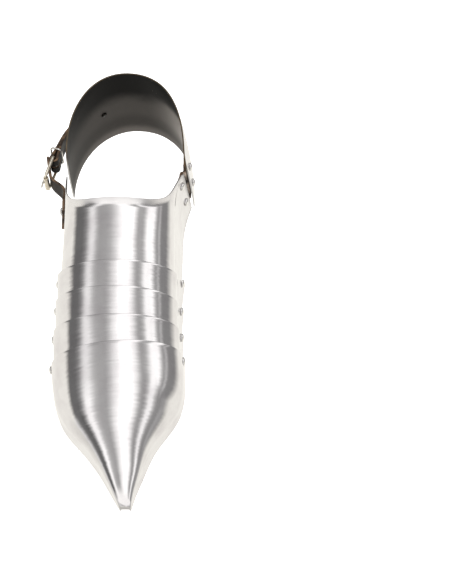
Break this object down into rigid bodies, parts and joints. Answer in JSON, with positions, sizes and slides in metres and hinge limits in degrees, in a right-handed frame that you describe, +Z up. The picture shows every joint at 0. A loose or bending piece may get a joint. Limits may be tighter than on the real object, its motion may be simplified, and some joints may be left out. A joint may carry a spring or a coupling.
{
  "type": "sabaton",
  "caption": "Plate foot armour with a pointed toe cap, riveted hinging lames, an instep plate, and a heel cup closed by a strap and roller buckle.",
  "frame": {"origin": "middle of the bounding box's floor rectangle", "axes": "-Y towards the toe, +X towards the inner side of the foot with the leather hinge, +Z up"},
  "size_m": [0.1341, 0.3724, 0.1024],
  "materials": {
    "steel": "polished with fine brushing",
    "leather": "black dyed with brown cut edges",
    "buckle_metal": "polished",
    "roller_metal": "pale polished"
  },
  "bodies": {
    "instep": {"instep_plate": "steel", "heel_cup": "steel", "hinge_leather": "leather", "hinge_rivet_1": "steel", "hinge_rivet_2": "steel", "hinge_rivet_3": "steel", "hinge_rivet_4": "steel", "billet_strap": "leather", "billet_rivet": "steel", "buckle_strap": "leather", "buckle_strap_rivet": "steel", "buckle_frame": "buckle_metal", "buckle_roller": "roller_metal", "buckle_prong": "buckle_metal", "keeper_loop": "buckle_metal", "pivot_rivet_1_outer": "steel", "pivot_rivet_1_inner": "steel"},
    "lame_1": {"lame_1": "steel", "pivot_rivet_2_outer": "steel", "pivot_rivet_2_inner": "steel"},
    "lame_2": {"lame_2": "steel", "pivot_rivet_3_outer": "steel", "pivot_rivet_3_inner": "steel"},
    "lame_3": {"lame_3": "steel", "pivot_rivet_4_outer": "steel", "pivot_rivet_4_inner": "steel"},
    "toe": {"toe_cap": "steel"}
  },
  "joints": [
    {"name": "lame_1_pivot", "type": "hinge", "parent": "instep", "child": "lame_1", "pos_m": [0.00453, 0.01243, 0.01531], "axis": [-0.9999, -0.013, 0], "range_deg": [-5, 2]},
    {"name": "lame_2_pivot", "type": "hinge", "parent": "lame_1", "child": "lame_2", "pos_m": [0.0042, -0.0143, 0.01531], "axis": [-1, 0.0001, 0], "range_deg": [-5, 2]},
    {"name": "lame_3_pivot", "type": "hinge", "parent": "lame_2", "child": "lame_3", "pos_m": [0.00431, -0.04029, 0.0153], "axis": [-0.9998, -0.0218, 0.0001], "range_deg": [-5, 2]},
    {"name": "toe_cap_pivot", "type": "hinge", "parent": "lame_3", "child": "toe", "pos_m": [0.00507, -0.06533, 0.01523], "axis": [-0.9972, -0.0746, -0.0014], "range_deg": [-5, 2]}
  ]
}
